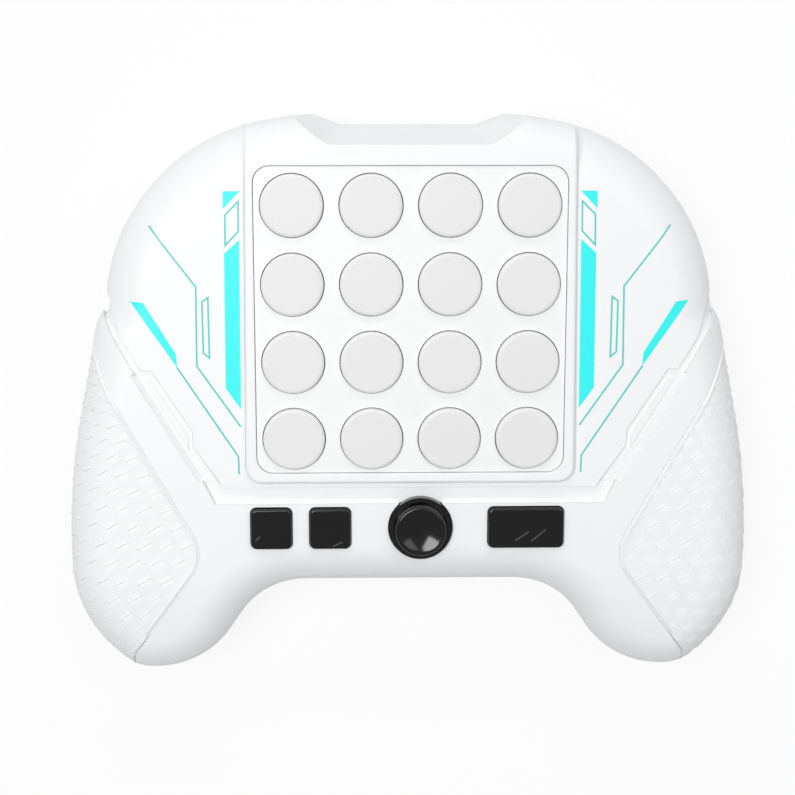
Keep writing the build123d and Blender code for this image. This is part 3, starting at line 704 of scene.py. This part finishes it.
mark_ink = printing_ink("pad_printed_grey_mark_ink", "#4A4A4A")
WIDE_MARKS = (
    ((0.37, 0.25), (0.53, 0.43)),
    ((0.56, 0.24), (0.73, 0.47)),
)
MIDDLE_MARKS = (((0.56, 0.16), (0.74, 0.24)),)
LEFT_MARKS = (((0.18, 0.28), (0.28, 0.36)),)
for name, marks in (
    ("key_wide", WIDE_MARKS), ("key_middle", MIDDLE_MARKS), ("key_left", LEFT_MARKS)
):
    cap_low, cap_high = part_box(name)
    shape = bmesh.new()
    for points in marks:
        ends = [
            ((cap_low.x + x * (cap_high.x - cap_low.x)) / MM,
             (cap_low.y + y * (cap_high.y - cap_low.y)) / MM)
            for x, y in points
        ]
        corners = [
            shape.verts.new((point.x * MM, point.y * MM, cap_high.z + MARK_HEIGHT * MM))
            for point in line_outline(ends, MARK_WIDTH)
        ]
        shape.faces.new(corners)
    for face in shape.faces:
        face.normal_update()
        if face.normal.z < 0:
            face.normal_flip()
    finished_piece(
        name + "_mark", shape, frame["nodes"][name]["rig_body"], mark_ink
    )


# Rubber pads: two sheets of translucent silicone, moulded with a hollow dome under each
# bubble and key; the rubber is matt and slightly dusty with mould powder.
silicone = moulded_plastic("translucent_silicone_rubber", "#C9CDD0", 0.6, 0.5, 0.01, 1.41)
for name in ("dome_pad", "key_pad"):
    smooth_piece(name, "housing", silicone)


# Circuit board: glass-fibre laminate under green solder mask, in which the copper tracks
# show as slightly lighter lines. The lamps and the controller are soldered to it.
TRACK_PITCH = 2.54
board_mask, tree, output = blank_material("green_solder_mask")
place = add_node(tree, "ShaderNodeTexCoord")
tracks = add_node(
    tree, "ShaderNodeTexBrick",
    {"Color1": linear("#0E5A33"), "Color2": linear("#0F6238"), "Mortar": linear("#2F8A58"),
     "Scale": 1 / (TRACK_PITCH * MM), "Mortar Size": 0.09, "Brick Width": 5.0, "Row Height": 1.0},
    {"Vector": place.outputs["Object"]},
)
shader = add_node(
    tree, "ShaderNodeBsdfPrincipled", {"Roughness": 0.3, "IOR": 1.5},
    {"Base Color": tracks.outputs["Color"]},
)
relief = add_node(
    tree, "ShaderNodeBump", {"Strength": 0.3, "Distance": 0.03 * MM},
    {"Height": tracks.outputs["Fac"]},
)
tree.links.new(relief.outputs["Normal"], shader.inputs["Normal"])
tree.links.new(shader.outputs["BSDF"], output.inputs["Surface"])
lamp_epoxy = moulded_plastic("cloudy_lamp_epoxy", "#E9E6C8", 0.25, 0.4, 0.003)
chip_epoxy = moulded_plastic("black_moulded_chip_epoxy", "#1B1B1D", 0.55, 0.3, 0.01)
for name, material in (
    ("main_board", board_mask), ("lamps", lamp_epoxy), ("controller_chip", chip_epoxy)
):
    frame["nodes"][name].data.materials.clear()
    frame["nodes"][name].data.materials.append(material)


# Screws, battery contacts and speaker basket: steel, drawn or pressed and then plated,
# which leaves a bright metal with fine streaks. The screws are driven from the back.
def plated_steel(name, hex_colour, roughness, streak_mm):
    """Plated steel: a bright metal with fine drawing streaks along its length."""
    material, tree, output = blank_material(name)
    place = add_node(tree, "ShaderNodeTexCoord")
    stretch = add_node(
        tree, "ShaderNodeMapping", {"Scale": (1.0, 6.0, 1.0)}, {"Vector": place.outputs["Object"]}
    )
    streaks = add_node(
        tree, "ShaderNodeTexNoise", {"Scale": 1 / (streak_mm * MM), "Detail": 4.0},
        {"Vector": stretch.outputs["Vector"]},
    )
    tint = add_node(
        tree, "ShaderNodeMix",
        {"data_type": "RGBA", 6: linear(hex_colour), 7: linear(hex_colour, 0.86)},
        {0: streaks.outputs["Fac"]},
    )
    polish = add_node(
        tree, "ShaderNodeMapRange", {"To Min": roughness - 0.06, "To Max": roughness + 0.1},
        {"Value": streaks.outputs["Fac"]},
    )
    shader = add_node(
        tree, "ShaderNodeBsdfPrincipled", {"Metallic": 1.0},
        {"Base Color": tint.outputs[2], "Roughness": polish.outputs["Result"]},
    )
    tree.links.new(shader.outputs["BSDF"], output.inputs["Surface"])
    return material


zinc_steel = plated_steel("zinc_plated_steel", "#BFC2C6", 0.32, 0.6)
nickel_steel = plated_steel("nickel_plated_spring_steel", "#CFC9BD", 0.22, 0.5)
for name in ("housing_screws", "board_screws", "door_screw"):
    smooth_piece(name, "housing", zinc_steel)
smooth_piece("battery_contacts", "housing", nickel_steel)
smooth_piece("speaker_basket", "housing", zinc_steel)


# Speaker cone: black pulp paper pressed over a former, matt and faintly fibrous, glued
# into the basket behind the slots in the back.
cone_paper = moulded_plastic("black_pulp_paper", "#1E1D1C", 0.85, 0.25, 0.03, 1.4)
smooth_piece("speaker_cone", "housing", cone_paper)


# Battery door and cells: the door is the shells' white ABS, hooked at one end and held
# by one screw. The three AAA cells wear a printed sleeve, dark with a copper-brown end.
SLEEVE_BAND_SHARE = 0.28
smooth_piece("battery_door", "housing", white_abs)
for index in (1, 2, 3):
    name = f"cell_{index}"
    low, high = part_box(name)
    positive = 1 if index % 2 == 0 else -1
    sleeve, tree, output = blank_material(f"printed_cell_sleeve_{index}")
    place = add_node(tree, "ShaderNodeTexCoord")
    along = add_node(tree, "ShaderNodeSeparateXYZ", {}, {0: place.outputs["Object"]})
    start = high.x if positive > 0 else low.x
    band = add_node(
        tree, "ShaderNodeMapRange",
        {"From Min": start - positive * (SLEEVE_BAND_SHARE * (high.x - low.x) + 0.1 * MM),
         "From Max": start - positive * SLEEVE_BAND_SHARE * (high.x - low.x)},
        {"Value": along.outputs["X"]},
    )
    scuffs = add_node(
        tree, "ShaderNodeTexNoise", {"Scale": 1 / (2.0 * MM), "Detail": 4.0},
        {"Vector": place.outputs["Object"]},
    )
    colour = add_node(
        tree, "ShaderNodeMix",
        {"data_type": "RGBA", 6: linear("#23262B"), 7: linear("#9C6A3C")},
        {0: band.outputs["Result"]},
    )
    gloss = add_node(
        tree, "ShaderNodeMapRange", {"To Min": 0.22, "To Max": 0.38},
        {"Value": scuffs.outputs["Fac"]},
    )
    shader = add_node(
        tree, "ShaderNodeBsdfPrincipled", {"IOR": 1.53},
        {"Base Color": colour.outputs[2], "Roughness": gloss.outputs["Result"]},
    )
    tree.links.new(shader.outputs["BSDF"], output.inputs["Surface"])
    smooth_piece(name, "housing", sleeve)


# Floor: a plain pale table, almost white to the camera, that keeps the object's soft
# shadow. It isn't part of the object and lies just under its back.
FLOOR_REACH = 12.0
FLOOR_GLOW = 0.85
floor_material, floor_tree, floor_output = blank_material("pale_table")
floor_shader = add_node(
    floor_tree, "ShaderNodeBsdfPrincipled",
    {"Base Color": linear("#F2F2F2"), "Roughness": 0.9, "Specular IOR Level": 0.1},
)
floor_glow = add_node(floor_tree, "ShaderNodeEmission", {"Strength": 1.0})
floor_path = add_node(floor_tree, "ShaderNodeLightPath")
floor_share = add_node(
    floor_tree, "ShaderNodeMath", {"operation": "MULTIPLY", 1: FLOOR_GLOW},
    {0: floor_path.outputs["Is Camera Ray"]},
)
floor_mix = add_node(
    floor_tree, "ShaderNodeMixShader", {},
    {0: floor_share.outputs[0], 1: floor_shader.outputs["BSDF"], 2: floor_glow.outputs[0]},
)
floor_tree.links.new(floor_mix.outputs[0], floor_output.inputs["Surface"])
floor_shape = bmesh.new()
bmesh.ops.create_grid(floor_shape, x_segments=1, y_segments=1, size=FLOOR_REACH)
floor_mesh = bpy.data.meshes.new("floor")
floor_shape.to_mesh(floor_mesh)
floor_shape.free()
floor_object = bpy.data.objects.new("floor", floor_mesh)
bpy.context.scene.collection.objects.link(floor_object)
floor_object.location.z = -0.1 * MM
floor_mesh.materials.append(floor_material)


# Lights: a wide soft box from the upper left, a weaker one from the right, a thin strip
# beyond the top edge that lines the keys' edges, and a pale world that fills the shadows.
world = bpy.data.worlds.new("studio")
bpy.context.scene.world = world
world.use_nodes = True
world_tree = world.node_tree
world_tree.nodes.clear()
world_output = add_node(world_tree, "ShaderNodeOutputWorld")
world_path = add_node(world_tree, "ShaderNodeLightPath")
seen = add_node(
    world_tree, "ShaderNodeMath", {"operation": "MAXIMUM"},
    {0: world_path.outputs["Is Camera Ray"], 1: world_path.outputs["Is Transmission Ray"]},
)
fill = add_node(world_tree, "ShaderNodeBackground", {"Color": linear("#FFFFFF"), "Strength": 0.34})
white = add_node(world_tree, "ShaderNodeBackground", {"Color": linear("#FFFFFF"), "Strength": 1.0})
world_mix = add_node(
    world_tree, "ShaderNodeMixShader", {},
    {0: seen.outputs[0], 1: fill.outputs[0], 2: white.outputs[0]},
)
world_tree.links.new(world_mix.outputs[0], world_output.inputs["Surface"])


def soft_box(name, place, target, size, watts):
    """A square studio light that points at the object."""
    data = bpy.data.lights.new(name, "AREA")
    data.size = size
    data.energy = watts
    lamp = bpy.data.objects.new(name, data)
    bpy.context.scene.collection.objects.link(lamp)
    lamp.location = place
    lamp.rotation_euler = (Vector(target) - Vector(place)).to_track_quat("-Z", "Y").to_euler()
    return lamp


soft_box("key_light", (-0.30, 0.16, 0.95), (0, 0, 0.03), 0.45, 5.2)
soft_box("fill_light", (0.45, 0.3, 0.9), (0, 0, 0.03), 0.6, 1.8)
rim_light = soft_box("rim_light", (0.0, 0.85, 0.55), (0, 0, 0.03), 0.6, 1.3)
rim_light.data.shape = "RECTANGLE"
rim_light.data.size_y = 0.06


# Camera: the photograph looks down on the face, 11 degrees toward the top edge and a
# little from the left. Its place is measured from the middle of the bubble field.
camera_data = bpy.data.cameras.new("photo_camera")
camera_data.lens = 75.17
camera_data.sensor_width = 36.0
camera = bpy.data.objects.new("photo_camera", camera_data)
bpy.context.scene.collection.objects.link(camera)
camera_right = Vector((0.99976, -0.00005, 0.02183))
camera_back = Vector((-0.02141, 0.19451, 0.98067)).normalized()
camera_up = camera_back.cross(camera_right).normalized()
camera_right = camera_up.cross(camera_back)
camera.matrix_world = Matrix.Translation(
    field_centre + Vector((-12.106, 61.850, 404.403)) * MM
) @ Matrix((camera_right, camera_up, camera_back)).transposed().to_4x4()
bpy.context.scene.camera = camera
bpy.context.scene.view_settings.view_transform = "Standard"
